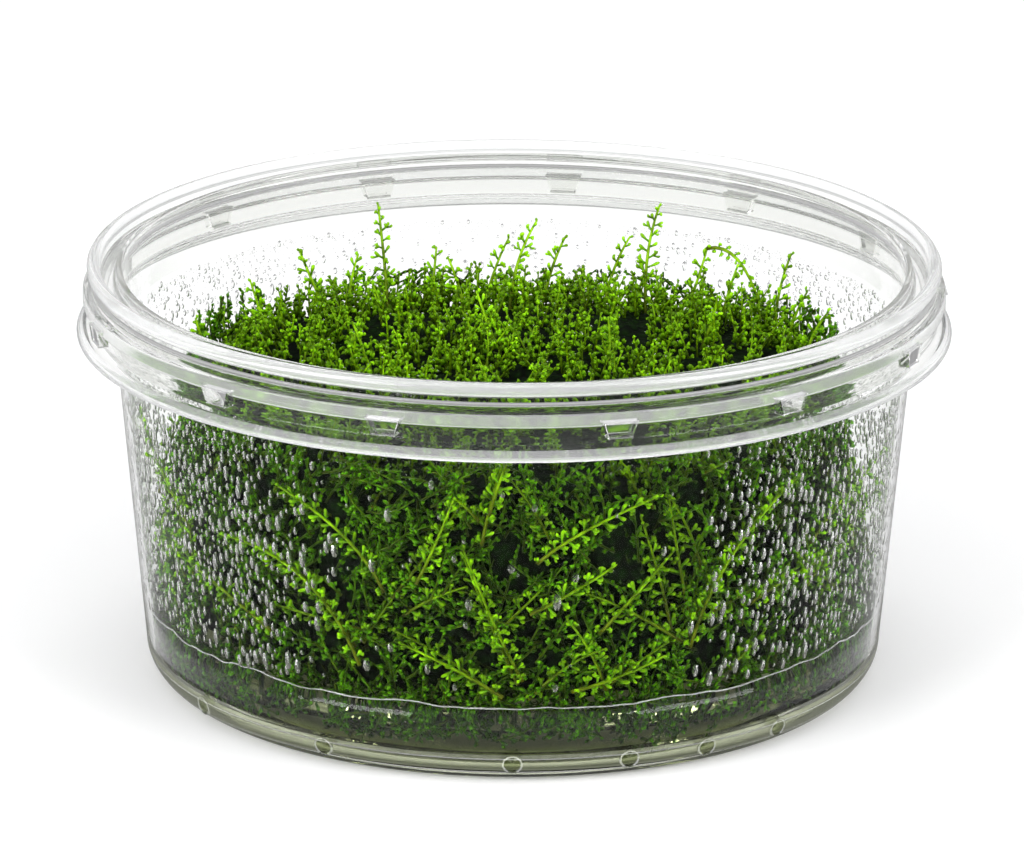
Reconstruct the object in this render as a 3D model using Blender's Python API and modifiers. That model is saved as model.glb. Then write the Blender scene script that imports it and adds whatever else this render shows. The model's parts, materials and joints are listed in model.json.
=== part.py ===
"""Java moss growing in a round clear plastic cup, with a little water in its foot.

Metres, +Z up. The origin is the middle of the cup's underside, so the cup stands on z = 0.
The front is -Y. Azimuths are in degrees, 0 at the front and positive towards +X.
"""

import math

import bmesh
import bpy
from mathutils import Vector, noise
from mathutils.bvhtree import BVHTree

# Cup: the rim is 100 mm over its rolled bead, and the cup is 50 mm high
CUP_HEIGHT = 0.050
BEAD_RADIUS = 0.050
LIP_OUTER_RADIUS = 0.04665
LIP_THICKNESS = 0.00085
LIP_TOP = 0.0491
GUTTER_DEPTH = 0.0020
GUTTER_OUTER_RADIUS = 0.0484
WALL = 0.0008
WALL_FOOT_RADIUS = 0.0431
WALL_SLOPE = 0.0909
STRAIGHT_WALL_FROM = 0.0364
FOOT_CORNER = 0.0040
INNER_CORNER = 0.0032
FLOOR_TOP = 0.0014
FOOT_RING_INNER_RADIUS = 0.0362
FOOT_RECESS = 0.0005
EDGE_ROUND = 0.0002
CUP_SIDES = 40

# Collar below the bead: a step, a recessed band and a flared skirt that hangs free of the wall
COLLAR_RADIUS = 0.0496
STEP_RADIUS = 0.0505
STEP_TOP = 0.0467
STEP_BOTTOM = 0.0451
SKIRT_RADIUS = 0.0513
SKIRT_TOP = 0.0431
SKIRT_BOTTOM = 0.0413
SKIRT_WALL = 0.0008
SKIRT_BEND = 0.0005

# Stacking lugs that hang below the step
LUG_AZIMUTHS = (-160, -133, -106, -73, -41.7, -16.8, 13.6, 38.3, 65, 92, 119, 146, 173)
LUG_WIDTH = 0.0038
LUG_FOOT_WIDTH = 0.0026
LUG_DEPTH = 0.0014
LUG_BOTTOM = 0.0436

# Gap between pieces that touch
GAP = 0.0003

# Water in the foot of the cup, around the base of the moss
WATER_LEVEL = 0.0090
WATER_FLOOR_RADIUS = 0.0290

# Moss mat: a lumpy cushion that stands on the floor and fills the cup nearly to its rim
MAT_CLEAR_OF_WALL = 0.0020
MAT_TOP = 0.0386
MAT_SHOULDER = 0.0358
MAT_FLOOR_RADIUS = 0.0255
MAT_BACK_DROP = 0.0042
MAT_BACK_FROM = 0.014
MAT_SHRUNK = 0.0050
MAT_SHRUNK_FROM = 0.010
MAT_TUFT = 0.0026
MAT_HOLLOW = 0.0008
MAT_SWELL_SIZE = 0.0090
MAT_DENT = 0.0009
MAT_CELLS = 16
MAT_SIDE_RINGS = 6

# Fronds: leafy stems, flat, with whorls of leaflets that narrow towards the tip
FROND_HALF_WIDTH = 0.0021
FROND_HALF_THICKNESS = 0.00042
WALL_FROND_WHORLS = 5
STANDING_FROND_WHORLS = 4
FROND_STEM_HALF_WIDTH = 0.0008
TIP_HALF_WIDTH = 0.0004
# How deep a standing frond's stem starts in the mat, before its foot is cut off there
FOOT_DEPTH = 0.0010

# Standing fronds: where each leaves the mat (x, y), and where its tip ends (x, y, z)
STANDING_FRONDS = (
    ((-0.0150, 0.0235), (-0.0165, 0.0280, 0.0481)),
    ((0.0160, 0.0230), (0.0176, 0.0280, 0.0482)),
    ((-0.0005, 0.0215), (0.0028, 0.0270, 0.0464)),
    ((0.0105, 0.0240), (0.0140, 0.0275, 0.0442)),
    ((-0.0040, 0.0260), (-0.0006, 0.0290, 0.0436)),
    ((0.0030, 0.0262), (0.0062, 0.0300, 0.0434)),
    ((-0.0215, 0.0200), (-0.0259, 0.0225, 0.0439)),
    ((-0.0100, 0.0250), (-0.0094, 0.0275, 0.0428)),
    ((-0.0055, 0.0195), (-0.0080, 0.0235, 0.0426)),
    ((0.0310, 0.0165), (0.0332, 0.0200, 0.0444)),
    ((0.0200, 0.0215), (0.0232, 0.0250, 0.0434)),
    ((0.0245, 0.0180), (0.0270, 0.0225, 0.0425)),
    ((-0.0200, 0.0240), (-0.0188, 0.0270, 0.0420)),
    ((-0.0285, 0.0110), (-0.0315, 0.0140, 0.0427)),
    ((0.0320, 0.0100), (0.0350, 0.0135, 0.0418)),
    ((-0.0345, 0.0010), (-0.0375, 0.0025, 0.0414)),
    ((0.0345, 0.0040), (0.0372, 0.0060, 0.0415)),
    ((-0.0165, -0.0040), (-0.0190, -0.0020, 0.0425)),
    ((0.0105, -0.0030), (0.0110, 0.0005, 0.0424)),
    ((-0.0020, 0.0050), (-0.0045, 0.0080, 0.0432)),
    ((0.0215, 0.0060), (0.0240, 0.0075, 0.0430)),
    ((-0.0255, -0.0190), (-0.0285, -0.0205, 0.0424)),
    ((0.0260, -0.0175), (0.0285, -0.0195, 0.0424)),
    ((0.0020, -0.0265), (0.0010, -0.0300, 0.0424)),
)

# Wall fronds, pressed between mat and wall: (azimuth, height) of root, middle and tip
WALL_FRONDS = (
    ((-19.5, 0.0225), (-26.0, 0.0290), (-37.0, 0.0335)),
    ((-24.0, 0.0130), (-34.0, 0.0230), (-50.5, 0.0250)),
    ((-1.5, 0.0105), (-9.5, 0.0140), (-17.5, 0.0165)),
    ((1.5, 0.0125), (-2.5, 0.0190), (-7.5, 0.0290)),
    ((2.5, 0.0208), (8.5, 0.0232), (15.5, 0.0265)),
    ((3.5, 0.0270), (11.0, 0.0310), (22.0, 0.0345)),
    ((-14.5, 0.0240), (-11.5, 0.0290), (-8.5, 0.0350)),
    ((-3.5, 0.0330), (-2.0, 0.0370), (-0.5, 0.0400)),
    ((13.0, 0.0180), (18.5, 0.0225), (24.5, 0.0275)),
    ((28.0, 0.0150), (35.0, 0.0260), (47.5, 0.0335)),
    ((38.5, 0.0188), (48.0, 0.0208), (62.0, 0.0215)),
    ((51.0, 0.0240), (62.0, 0.0285), (80.0, 0.0300)),
    ((-40.0, 0.0150), (-55.0, 0.0190), (-70.0, 0.0200)),
    ((-58.0, 0.0240), (-66.0, 0.0290), (-76.0, 0.0350)),
    ((9.0, 0.0110), (16.5, 0.0125), (24.0, 0.0145)),
    ((110.0, 0.0160), (118.0, 0.0230), (130.0, 0.0280)),
    ((150.0, 0.0150), (162.0, 0.0210), (178.0, 0.0250)),
    ((-100.0, 0.0180), (-112.0, 0.0240), (-126.0, 0.0280)),
    ((-168.0, 0.0240), (-156.0, 0.0290), (-142.0, 0.0310)),
)


def clear_scene():
    for obj in list(bpy.data.objects):
        bpy.data.objects.remove(obj, do_unlink=True)


def make_collection(name):
    collection = bpy.data.collections.new(name)
    bpy.context.scene.collection.children.link(collection)
    return collection


def make_material(name, colour, roughness, metallic=0.0, transmission=0.0):
    material = bpy.data.materials.new(name)
    material.use_nodes = True
    shader = material.node_tree.nodes["Principled BSDF"]
    shader.inputs["Base Color"].default_value = (*colour, 1.0)
    shader.inputs["Roughness"].default_value = roughness
    shader.inputs["Metallic"].default_value = metallic
    shader.inputs["Transmission Weight"].default_value = transmission
    material.diffuse_color = (*colour, 1.0)
    return material


def add_object(name, mesh, material, collection):
    obj = bpy.data.objects.new(name, mesh)
    collection.objects.link(obj)
    mesh.materials.append(material)
    return obj


def finish_mesh(bm, name, sharp_degrees=35):
    mesh = bpy.data.meshes.new(name)
    bm.to_mesh(mesh)
    bm.free()
    mesh.shade_smooth()
    mesh.set_sharp_from_angle(angle=math.radians(sharp_degrees))
    return mesh


def arc(centre, radius, start_degrees, end_degrees, steps):
    """Points (r, z) on a round stretch of a turned outline, ends included."""
    points = []
    for i in range(steps + 1):
        angle = math.radians(start_degrees + (end_degrees - start_degrees) * i / steps)
        points.append((centre[0] + radius * math.cos(angle), centre[1] + radius * math.sin(angle)))
    return points


def turned_mesh(name, profile, sides):
    """The profile (r, z), which runs down its outer side, turned round the Z axis."""
    mesh = bpy.data.meshes.new(name)
    edges = [(i, i + 1) for i in range(len(profile) - 1)]
    if profile[0][0] > 0:
        edges.append((len(profile) - 1, 0))
    mesh.from_pydata([(r, 0.0, z) for r, z in profile], edges, [])
    obj = bpy.data.objects.new(name, mesh)
    bpy.context.scene.collection.objects.link(obj)
    screw = obj.modifiers.new("turn", "SCREW")
    screw.axis = "Z"
    screw.steps = sides
    screw.render_steps = sides
    screw.use_merge_vertices = True
    screw.merge_threshold = 0.00001
    evaluated = obj.evaluated_get(bpy.context.evaluated_depsgraph_get())
    turned = bpy.data.meshes.new_from_object(evaluated)
    bpy.data.objects.remove(obj, do_unlink=True)
    return turned


def wall_radius(height):
    """Outer radius of the cup's wall, which tapers up to the collar and is then nearly straight."""
    tapered = WALL_FOOT_RADIUS + WALL_SLOPE * min(height, STRAIGHT_WALL_FROM)
    share = max(0.0, height - STRAIGHT_WALL_FROM) / (CUP_HEIGHT - STRAIGHT_WALL_FROM)
    return tapered + (LIP_OUTER_RADIUS - tapered) * min(1.0, share * 2.0)


def inner_radius(height):
    return wall_radius(height) - WALL


def around(radius, azimuth, height):
    angle = math.radians(azimuth)
    return Vector((radius * math.sin(angle), -radius * math.cos(angle), height))


def cup_profile():
    """The whole wall in one closed outline, from the middle of the floor round to the underside."""
    corner_r = inner_radius(FLOOR_TOP + INNER_CORNER) - INNER_CORNER
    lip_inner = LIP_OUTER_RADIUS - LIP_THICKNESS
    lip_side_top = LIP_TOP - 2 * EDGE_ROUND
    gutter_floor = CUP_HEIGHT - GUTTER_DEPTH
    bead_half = (BEAD_RADIUS - GUTTER_OUTER_RADIUS) / 2
    bead_centre = (BEAD_RADIUS - bead_half, CUP_HEIGHT - bead_half)
    skirt_bend_r = SKIRT_RADIUS - SKIRT_BEND
    skirt_bend_z = SKIRT_TOP - 1.4 * SKIRT_BEND
    collar_inner = COLLAR_RADIUS - SKIRT_WALL
    foot_r = wall_radius(FOOT_CORNER) - FOOT_CORNER
    points = [(0.0, FLOOR_TOP)]
    points += arc((corner_r, FLOOR_TOP + INNER_CORNER), INNER_CORNER, -90, 0, 3)
    points += [(inner_radius(STRAIGHT_WALL_FROM), STRAIGHT_WALL_FROM)]
    points += [(lip_inner, SKIRT_TOP), (lip_inner, lip_side_top)]
    points += [(lip_inner + EDGE_ROUND, LIP_TOP), (LIP_OUTER_RADIUS - EDGE_ROUND, LIP_TOP)]
    points += [(LIP_OUTER_RADIUS, lip_side_top), (LIP_OUTER_RADIUS, gutter_floor)]
    points += [(GUTTER_OUTER_RADIUS, gutter_floor)]
    points += arc(bead_centre, bead_half, 180, -45, 5)
    points += [(COLLAR_RADIUS, STEP_TOP + EDGE_ROUND), (STEP_RADIUS - EDGE_ROUND, STEP_TOP)]
    points += [(STEP_RADIUS, STEP_BOTTOM + EDGE_ROUND), (COLLAR_RADIUS, STEP_BOTTOM)]
    points += [(COLLAR_RADIUS, SKIRT_TOP), (skirt_bend_r, skirt_bend_z)]
    points += [(SKIRT_RADIUS, SKIRT_BOTTOM + 2 * EDGE_ROUND)]
    points += [(SKIRT_RADIUS - EDGE_ROUND, SKIRT_BOTTOM), (SKIRT_RADIUS - SKIRT_WALL, SKIRT_BOTTOM)]
    points += [(skirt_bend_r - SKIRT_WALL, skirt_bend_z - EDGE_ROUND)]
    points += [(collar_inner, SKIRT_TOP - EDGE_ROUND), (collar_inner, gutter_floor - WALL)]
    points += [(LIP_OUTER_RADIUS, gutter_floor - WALL)]
    points += [(wall_radius(SKIRT_BOTTOM), SKIRT_BOTTOM)]
    points += [(wall_radius(STRAIGHT_WALL_FROM), STRAIGHT_WALL_FROM)]
    points += arc((foot_r, FOOT_CORNER), FOOT_CORNER, 0, -72, 3)
    points += [(foot_r, 0.0), (FOOT_RING_INNER_RADIUS, 0.0)]
    points += [(FOOT_RING_INNER_RADIUS - FOOT_RECESS, FOOT_RECESS), (0.0, FOOT_RECESS)]
    return points


def make_lugs(collection):
    """One guide mesh with every lug, a small trapezoid block across the step and the band below."""
    bm = bmesh.new()
    height = STEP_BOTTOM - LUG_BOTTOM + 3 * EDGE_ROUND
    face = STEP_RADIUS - EDGE_ROUND / 2
    for azimuth in LUG_AZIMUTHS:
        made = bmesh.ops.create_cube(bm, size=1.0)["verts"]
        for vert in made:
            low = vert.co.z < 0
            across = vert.co.x * (LUG_FOOT_WIDTH if low else LUG_WIDTH)
            out = face + (vert.co.y - 0.5) * LUG_DEPTH
            up = LUG_BOTTOM + (vert.co.z + 0.5) * height
            turn = azimuth + math.degrees(across / out)
            vert.co = around(out, turn, up)
    bmesh.ops.recalc_face_normals(bm, faces=bm.faces)
    mesh = bpy.data.meshes.new("lugs")
    bm.to_mesh(mesh)
    bm.free()
    guide = bpy.data.objects.new("lugs", mesh)
    collection.objects.link(guide)
    guide.hide_render = True
    guide.display_type = "WIRE"
    return guide


def make_cup(parts, cutters):
    """The clear cup: floor, wall, lip, gutter, bead, stepped collar and skirt, moulded as one."""
    clear = make_material("clear plastic", (0.90, 0.92, 0.92), 0.05, transmission=1.0)
    mesh = turned_mesh("cup", cup_profile(), CUP_SIDES)
    mesh.shade_smooth()
    mesh.set_sharp_from_angle(angle=math.radians(35))
    cup = add_object("cup", mesh, clear, parts)
    union = cup.modifiers.new("lugs", "BOOLEAN")
    union.operation = "UNION"
    union.object = make_lugs(cutters)
    return cup


def mat_side_radius(height):
    return inner_radius(height) - MAT_CLEAR_OF_WALL


def mat_levels():
    """Radius and height of each ring of the mat's side, from under its shoulder to its foot."""
    levels = []
    drop = (MAT_SHOULDER - 0.0105) / MAT_SIDE_RINGS
    for i in range(1, MAT_SIDE_RINGS + 1):
        height = MAT_SHOULDER - drop * i
        levels.append((mat_side_radius(height), height))
    levels += [(0.0392, 0.0066), (0.0360, 0.0044), (0.0310, 0.0028)]
    levels.append((MAT_FLOOR_RADIUS, FLOOR_TOP + GAP))
    return levels


def smooth_step(value, start, end):
    share = min(1.0, max(0.0, (value - start) / (end - start)))
    return share * share * (3 - 2 * share)


def sunk(place):
    """How far the back of the mat has sunk at this place."""
    back = smooth_step(place.y, MAT_BACK_FROM, LIP_OUTER_RADIUS)
    return MAT_BACK_DROP * back * smooth_step(place.z, 0.024, MAT_SHOULDER)


def shrunk(x, y, height):
    """How far the mat has drawn back from the wall here: it does so high up at both sides."""
    away = abs(math.degrees(math.atan2(x, -y)))
    side = smooth_step(away, 45, 80) * (1.0 - smooth_step(away, 110, 150))
    return MAT_SHRUNK * side * smooth_step(height, MAT_SHRUNK_FROM, MAT_SHOULDER)


def mat_top_place(x, y, peak):
    """Place on the mat's top for a point of the unit square: a tuft's tip or a hollow between."""
    across = Vector((x * math.sqrt(1 - y * y / 2), y * math.sqrt(1 - x * x / 2), 0.0))
    reach = mat_side_radius(MAT_SHOULDER) * 0.985
    reach -= shrunk(across.x, across.y, MAT_SHOULDER)
    from_middle = across.length
    place = across * reach
    place.z = MAT_TOP - (MAT_TOP - MAT_SHOULDER) * from_middle**4
    place.z -= sunk(place)
    swell = 0.5 + 0.8 * noise.noise(place / MAT_SWELL_SIZE)
    inside = 1.0 - smooth_step(from_middle, 0.9, 1.0)
    place.z += inside * (MAT_TUFT * swell if peak else -MAT_HOLLOW)
    return place


def split_between_tufts(bm, peak):
    """Splits each four-sided face along its hollow corners, so that tufts stand as single peaks."""
    for face in [face for face in bm.faces if len(face.verts) == 4]:
        hollows = [vert for vert in face.verts if not vert[peak]]
        if len(hollows) == 2:
            bmesh.utils.face_split(face, hollows[0], hollows[1])


def make_mat(parts):
    """The moss itself: one tangled cushion, tufted with the ends of its many short shoots."""
    green = make_material("moss", (0.07, 0.20, 0.01), 0.75)
    bm = bmesh.new()
    peak = bm.verts.layers.int.new("peak")
    bmesh.ops.create_grid(bm, x_segments=MAT_CELLS, y_segments=MAT_CELLS, size=1.0)
    for vert in bm.verts:
        column = round((vert.co.x + 1) / 2 * MAT_CELLS)
        row = round((vert.co.y + 1) / 2 * MAT_CELLS)
        vert[peak] = (column + row) % 2
        vert.co = mat_top_place(vert.co.x, vert.co.y, vert[peak])
    rim = [edge for edge in bm.edges if edge.is_boundary]
    for ring, (radius, height) in enumerate(mat_levels()):
        made = bmesh.ops.extrude_edge_only(bm, edges=rim)["geom"]
        rim = [item for item in made if isinstance(item, bmesh.types.BMEdge)]
        dented = ring < MAT_SIDE_RINGS
        for vert in [item for item in made if isinstance(item, bmesh.types.BMVert)]:
            vert[peak] = 1 - vert[peak]
            out = radius - (MAT_DENT if dented and not vert[peak] else 0.0)
            out -= shrunk(vert.co.x, vert.co.y, height)
            flat = Vector((vert.co.x, vert.co.y, 0.0)).normalized() * out
            vert.co = Vector((flat.x, flat.y, height))
            vert.co.z -= sunk(vert.co)
    rim = [edge for edge in bm.edges if edge.is_boundary]
    bmesh.ops.edgeloop_fill(bm, edges=rim)
    split_between_tufts(bm, peak)
    bmesh.ops.recalc_face_normals(bm, faces=bm.faces)
    return add_object("moss_mat", finish_mesh(bm, "moss_mat"), green, parts)


def make_water(parts):
    """The water that stands in the foot of the cup, a shallow ring round the base of the moss."""
    clear = make_material("water", (0.55, 0.58, 0.42), 0.02, transmission=1.0)
    clearance = 2.0 * GAP
    floor = FLOOR_TOP + GAP
    corner_r = inner_radius(FLOOR_TOP + INNER_CORNER) - INNER_CORNER
    inner = (
        (WATER_FLOOR_RADIUS, floor),
        (0.0320, 0.0028 - clearance),
        (0.0368, 0.0044 - clearance),
        (0.0399, 0.0066 - clearance),
        (mat_side_radius(WATER_LEVEL) + clearance, WATER_LEVEL),
    )
    points = list(inner)
    points.append((inner_radius(WATER_LEVEL) - GAP, WATER_LEVEL))
    bend = arc((corner_r, FLOOR_TOP + INNER_CORNER), INNER_CORNER - GAP, 0, -90, 3)
    points += bend
    mesh = turned_mesh("water", points, CUP_SIDES)
    mesh.shade_smooth()
    mesh.set_sharp_from_angle(angle=math.radians(35))
    return add_object("water", mesh, clear, parts)


def between(a, b, c, share):
    """A point on the smooth curve that starts at a, passes b halfway and ends at c."""
    control = 2.0 * b - 0.5 * (a + c)
    return (1 - share) ** 2 * a + 2 * (1 - share) * share * control + share**2 * c


def frond_half_width(share, wide):
    """Half the frond's width: leaflets at each whorl, bare stem between, narrowing to the tip."""
    leafy = FROND_HALF_WIDTH * min(1.0, 1.35 - share) * min(1.0, 0.40 + 2.0 * share)
    return leafy if wide else FROND_STEM_HALF_WIDTH


def loft_frond(name, path, flat_normal, whorls, parts, material):
    """A leafy stem along path(share), lofted from flat four-sided sections of changing width."""
    bm = bmesh.new()
    stations = [(0.0, FROND_STEM_HALF_WIDTH)]
    for i in range(whorls):
        start = (i + 0.25) / (whorls + 0.35)
        stations.append((start, frond_half_width(start, False)))
        spread = (i + 0.85) / (whorls + 0.35)
        stations.append((spread, frond_half_width(spread, True)))
    stations.append((1.0, TIP_HALF_WIDTH))
    rings = []
    for share, half_width in stations:
        here = path(share)
        along = (path(min(1.0, share + 0.02)) - path(max(0.0, share - 0.02))).normalized()
        normal = flat_normal(here)
        normal = (normal - along * normal.dot(along)).normalized()
        side = along.cross(normal)
        half = FROND_HALF_THICKNESS
        corners = (side * half_width, normal * half, side * -half_width, normal * -half)
        rings.append([bm.verts.new(here + corner) for corner in corners])
    for low, high in zip(rings, rings[1:]):
        for i in range(4):
            j = (i + 1) % 4
            bm.faces.new((low[i], low[j], high[j], high[i]))
    bm.faces.new(rings[0])
    bm.faces.new(rings[-1])
    bmesh.ops.recalc_face_normals(bm, faces=bm.faces)
    return add_object(name, finish_mesh(bm, name), material, parts)


def mat_surface(mat):
    """Finds the height of the mat's top under a place (x, y)."""
    mesh = mat.data
    tree = BVHTree.FromPolygons(
        [vert.co for vert in mesh.vertices], [face.vertices for face in mesh.polygons]
    )

    def height(x, y):
        hit, _, _, _ = tree.ray_cast(Vector((x, y, CUP_HEIGHT)), Vector((0, 0, -1)))
        return hit.z

    return height


def make_mat_clearance(mat, collection):
    """Guide mesh: the mat grown by the gap that a frond's foot keeps to it."""
    mesh = mat.data.copy()
    normals = [vert.normal.copy() for vert in mesh.vertices]
    for vert, normal in zip(mesh.vertices, normals):
        vert.co += normal * GAP * 1.2
    guide = bpy.data.objects.new("mat_clearance", mesh)
    collection.objects.link(guide)
    guide.hide_render = True
    guide.display_type = "WIRE"
    return guide


def make_standing_fronds(parts, cutters, mat, material):
    """The tall shoots that stand above the cushion, each cut off where it leaves the mat."""
    height = mat_surface(mat)
    clearance = make_mat_clearance(mat, cutters)
    for i, (foot, tip) in enumerate(STANDING_FRONDS):
        root = Vector((foot[0], foot[1], height(*foot) - FOOT_DEPTH))
        top = Vector(tip)
        middle = (root + top) / 2 + Vector((0.0, 0.0, 0.06 * (top - root).length))

        def path(share, points=(root, middle, top)):
            return between(*points, share)

        def facing(place):
            return Vector((0.0, -1.0, 0.0))

        name = f"standing_frond_{i + 1:02d}"
        frond = loft_frond(name, path, facing, STANDING_FROND_WHORLS, parts, material)
        cut = frond.modifiers.new("foot", "BOOLEAN")
        cut.operation = "DIFFERENCE"
        cut.object = clearance


def make_wall_fronds(parts, material):
    """The long shoots pressed flat between the cushion and the clear wall."""
    clearance = GAP + FROND_HALF_THICKNESS + 0.0002
    for i, (root, middle, tip) in enumerate(WALL_FRONDS):
        ends = [Vector((azimuth, height, 0.0)) for azimuth, height in (root, middle, tip)]

        def path(share, ends=ends):
            place = between(*ends, share)
            return around(inner_radius(place.y) - clearance, place.x, place.y)

        def outward(place):
            return Vector((place.x, place.y, 0.0)).normalized()

        name = f"wall_frond_{i + 1:02d}"
        loft_frond(name, path, outward, WALL_FROND_WHORLS, parts, material)


clear_scene()
parts_collection = make_collection("java_moss_cup")
cutters_collection = make_collection("cutters")
make_cup(parts_collection, cutters_collection)
make_water(parts_collection)
moss_mat = make_mat(parts_collection)
frond_green = make_material("frond", (0.16, 0.34, 0.02), 0.6)
make_standing_fronds(parts_collection, cutters_collection, moss_mat, frond_green)
make_wall_fronds(parts_collection, frond_green)
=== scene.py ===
import json
import math

import bmesh
import bpy
import numpy as np
from mathutils import Euler, Matrix, Vector, noise

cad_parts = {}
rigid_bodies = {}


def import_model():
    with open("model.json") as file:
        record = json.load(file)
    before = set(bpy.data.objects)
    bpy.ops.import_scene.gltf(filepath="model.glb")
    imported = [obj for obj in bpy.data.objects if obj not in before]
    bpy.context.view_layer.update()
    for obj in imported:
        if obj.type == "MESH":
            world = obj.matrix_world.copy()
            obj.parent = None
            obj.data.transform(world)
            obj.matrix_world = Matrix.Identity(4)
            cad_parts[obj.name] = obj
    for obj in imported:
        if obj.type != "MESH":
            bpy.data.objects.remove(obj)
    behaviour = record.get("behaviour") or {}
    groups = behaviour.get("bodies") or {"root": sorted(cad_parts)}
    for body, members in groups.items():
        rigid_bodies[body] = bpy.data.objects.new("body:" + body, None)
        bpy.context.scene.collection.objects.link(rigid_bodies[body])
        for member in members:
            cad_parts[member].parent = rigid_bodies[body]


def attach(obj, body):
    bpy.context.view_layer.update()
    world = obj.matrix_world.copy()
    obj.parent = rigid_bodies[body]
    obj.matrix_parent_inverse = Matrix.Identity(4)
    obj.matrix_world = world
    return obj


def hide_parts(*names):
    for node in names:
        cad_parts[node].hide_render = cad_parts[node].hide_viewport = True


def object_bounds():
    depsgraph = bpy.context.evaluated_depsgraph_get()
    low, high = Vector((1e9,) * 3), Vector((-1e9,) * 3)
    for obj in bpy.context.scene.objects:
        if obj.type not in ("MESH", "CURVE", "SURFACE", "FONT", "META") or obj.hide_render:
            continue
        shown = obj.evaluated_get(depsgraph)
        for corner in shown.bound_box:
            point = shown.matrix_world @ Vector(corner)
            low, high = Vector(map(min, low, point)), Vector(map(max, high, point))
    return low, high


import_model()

cad_low, cad_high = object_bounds()

# The studio: a white paper sweep that glows faintly, a soft light above, one to each side in front,
# and pale walls with grey bands and a window behind the camera, which clear edges draw as lines.
# The camera stands 90 cm in front of the cup with a long lens and looks down on it.
CAMERA_DISTANCE = 0.900
CAMERA_ELEVATION = math.radians(18.1)
CAMERA_ROLL = math.radians(0.25)
AIM = Vector((-0.0002, 0.0, 0.0286))
PHOTO_WIDTH = 1024
FOCAL_PIXELS = 7637
SENSOR_WIDTH = 36.0
MIRRORED_FLOOR = 0.22


def add_camera():
    data = bpy.data.cameras.new("camera")
    data.sensor_width = SENSOR_WIDTH
    data.lens = FOCAL_PIXELS * SENSOR_WIDTH / PHOTO_WIDTH
    data.clip_start = 0.05
    camera = bpy.data.objects.new("camera", data)
    bpy.context.scene.collection.objects.link(camera)
    back = Vector((0.0, -math.cos(CAMERA_ELEVATION), math.sin(CAMERA_ELEVATION)))
    camera.location = AIM + back * CAMERA_DISTANCE
    turn = back.to_track_quat("Z", "Y").to_matrix() @ Matrix.Rotation(CAMERA_ROLL, 3, "Z")
    camera.rotation_euler = turn.to_euler()
    bpy.context.scene.camera = camera


def add_soft_light(name, place, target, width, depth, watts):
    data = bpy.data.lights.new(name, "AREA")
    data.shape = "RECTANGLE"
    data.size = width
    data.size_y = depth
    data.energy = watts
    light = bpy.data.objects.new(name, data)
    bpy.context.scene.collection.objects.link(light)
    light.location = place
    light.rotation_euler = (Vector(place) - Vector(target)).to_track_quat("Z", "Y").to_euler()


def add_world():
    world = bpy.data.worlds.new("studio")
    bpy.context.scene.world = world
    world.use_nodes = True
    nodes, links = world.node_tree.nodes, world.node_tree.links
    coords = nodes.new("ShaderNodeTexCoord")
    split = nodes.new("ShaderNodeSeparateXYZ")
    links.new(coords.outputs["Generated"], split.inputs[0])
    ramp = nodes.new("ShaderNodeValToRGB")
    stops = ramp.color_ramp.elements
    stops[0].position = 0.0
    stops[0].color = (0.95, 0.95, 0.96, 1.0)
    stops[1].position = 1.0
    stops[1].color = (1.1, 1.1, 1.1, 1.0)
    for position, grey in ((0.14, 0.72), (0.26, 1.30), (0.40, 0.80), (0.62, 1.20)):
        stop = stops.new(position)
        stop.color = (grey, grey, grey * 1.02, 1.0)
    links.new(split.outputs["Z"], ramp.inputs[0])
    links.new(ramp.outputs["Color"], nodes["Background"].inputs["Color"])
    window = nodes.new("ShaderNodeMapRange")
    window.interpolation_type = "SMOOTHSTEP"
    window.inputs["From Min"].default_value = 0.35
    window.inputs["From Max"].default_value = -0.85
    window.inputs["To Min"].default_value = 0.50
    window.inputs["To Max"].default_value = 0.88
    links.new(split.outputs["Y"], window.inputs["Value"])
    links.new(window.outputs["Result"], nodes["Background"].inputs["Strength"])


def add_floor():
    bm = bmesh.new()
    bmesh.ops.create_grid(bm, x_segments=1, y_segments=1, size=3.0)
    mesh = bpy.data.meshes.new("floor")
    bm.to_mesh(mesh)
    bm.free()
    floor = bpy.data.objects.new("floor", mesh)
    bpy.context.scene.collection.objects.link(floor)
    paper = bpy.data.materials.new("white paper")
    paper.use_nodes = True
    nodes, links = paper.node_tree.nodes, paper.node_tree.links
    shader = nodes["Principled BSDF"]
    shader.inputs["Roughness"].default_value = 0.9
    shader.inputs["Specular IOR Level"].default_value = 0.1
    # Painted shade in reflections: where the paper is seen mirrored without passing through clear plastic, its colour
    # drops to MIRRORED_FLOOR, which dims its reflection in the cup.
    path = nodes.new("ShaderNodeLightPath")
    through = nodes.new("ShaderNodeMapRange")
    through.inputs["To Min"].default_value = MIRRORED_FLOOR
    through.inputs["To Max"].default_value = 0.88
    links.new(path.outputs["Transmission Depth"], through.inputs["Value"])
    mirrored = nodes.new("ShaderNodeMapRange")
    mirrored.inputs["To Min"].default_value = 0.93
    links.new(through.outputs["Result"], mirrored.inputs["To Max"])
    links.new(path.outputs["Glossy Depth"], mirrored.inputs["Value"])
    links.new(mirrored.outputs["Result"], shader.inputs["Base Color"])
    shader.inputs["Emission Color"].default_value = (1.0, 1.0, 1.0, 1.0)
    shader.inputs["Emission Strength"].default_value = 0.09
    mesh.materials.append(paper)


add_camera()
add_world()
add_soft_light("top light", (0.0, 0.20, 0.80), (0.0, 0.05, 0.03), 0.35, 0.35, 0.8)
add_soft_light("left light", (-0.55, -0.50, 0.28), (0.0, 0.0, 0.03), 0.55, 0.40, 5.5)
add_soft_light("right light", (0.60, -0.42, 0.30), (0.0, 0.0, 0.03), 0.55, 0.40, 4.5)
add_floor()
bpy.context.scene.view_settings.view_transform = "Standard"
bpy.context.scene.cycles.max_bounces = 32
bpy.context.scene.cycles.transmission_bounces = 32
bpy.context.scene.cycles.glossy_bounces = 24


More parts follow.
